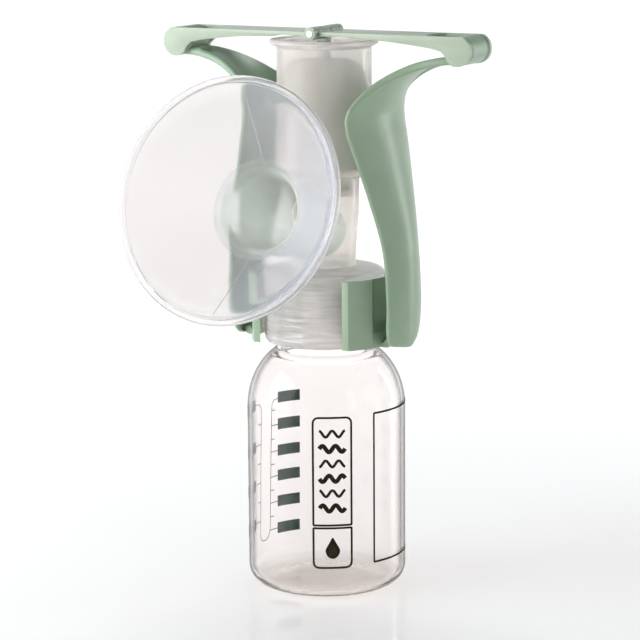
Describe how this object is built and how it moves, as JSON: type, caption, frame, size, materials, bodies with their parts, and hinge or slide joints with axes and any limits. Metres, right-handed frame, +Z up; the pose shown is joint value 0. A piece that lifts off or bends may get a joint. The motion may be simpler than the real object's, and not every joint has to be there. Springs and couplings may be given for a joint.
{
  "type": "breast pump",
  "caption": "Hand-squeezed breast pump: clear bottle, screw-on body with a tilted breast flange, and two handles that lift a piston in an open cylinder.",
  "frame": {"origin": "centre of the bottle's base", "axes": "+Z up, the handles along X, the breast flange towards -Y"},
  "size_m": [0.118, 0.1049, 0.195],
  "materials": {
    "bottle_plastic": "clear, smooth, with printed measuring scales",
    "clear_plastic": "clear, slightly milky, smooth",
    "green_plastic": "sage green, satin",
    "piston_plastic": "translucent grey green, smooth",
    "pin_plastic": "white, smooth",
    "silicone": "translucent white, satin"
  },
  "bodies": {
    "bottle": {"bottle": "bottle_plastic"},
    "pump_body": {"pump_body": "clear_plastic", "breast_flange": "clear_plastic", "cylinder": "clear_plastic", "cylinder_seal": "silicone", "valve": "silicone", "left_clasp": "green_plastic", "right_clasp": "green_plastic", "left_base_pin": "pin_plastic", "right_base_pin": "pin_plastic"},
    "piston": {"piston_cup": "piston_plastic", "piston_seal": "silicone", "piston_rod": "piston_plastic", "centre_pin": "pin_plastic"},
    "left_arm": {"left_arm": "green_plastic"},
    "right_arm": {"right_arm": "green_plastic"},
    "left_handle": {"left_handle": "green_plastic", "left_outer_pin": "pin_plastic"},
    "right_handle": {"right_handle": "green_plastic", "right_outer_pin": "pin_plastic"}
  },
  "joints": [
    {"name": "body_unscrew", "type": "hinge", "parent": "bottle", "child": "pump_body", "pos_m": [0, 0, 0.095], "axis": [0, 0, 1], "range_deg": [0, 360]},
    {"name": "piston_lift", "type": "slide", "parent": "pump_body", "child": "piston", "axis": [0, 0, 1], "range_m": [0, 0.02508]},
    {"name": "left_arm_fold", "type": "hinge", "parent": "piston", "child": "left_arm", "pos_m": [0, 0, 0.1928], "axis": [0, -1, 0], "range_deg": [0, 26.21]},
    {"name": "right_arm_fold", "type": "hinge", "parent": "piston", "child": "right_arm", "pos_m": [0, 0, 0.1928], "axis": [0, 1, 0], "range_deg": [0, 26.21]},
    {"name": "left_handle_squeeze", "type": "hinge", "parent": "pump_body", "child": "left_handle", "pos_m": [-0.0274, 0, 0.0886], "axis": [0, 1, 0], "range_deg": [0, 4.21]},
    {"name": "right_handle_squeeze", "type": "hinge", "parent": "pump_body", "child": "right_handle", "pos_m": [0.0274, 0, 0.0886], "axis": [0, -1, 0], "range_deg": [0, 4.21]}
  ],
  "couplings": [
    {"joint": "left_arm_fold", "follows": "piston_lift", "rad_per_m": 18.222},
    {"joint": "right_arm_fold", "follows": "piston_lift", "rad_per_m": 18.222},
    {"joint": "left_handle_squeeze", "follows": "piston_lift", "rad_per_m": 2.9228},
    {"joint": "right_handle_squeeze", "follows": "piston_lift", "rad_per_m": 2.9228}
  ]
}
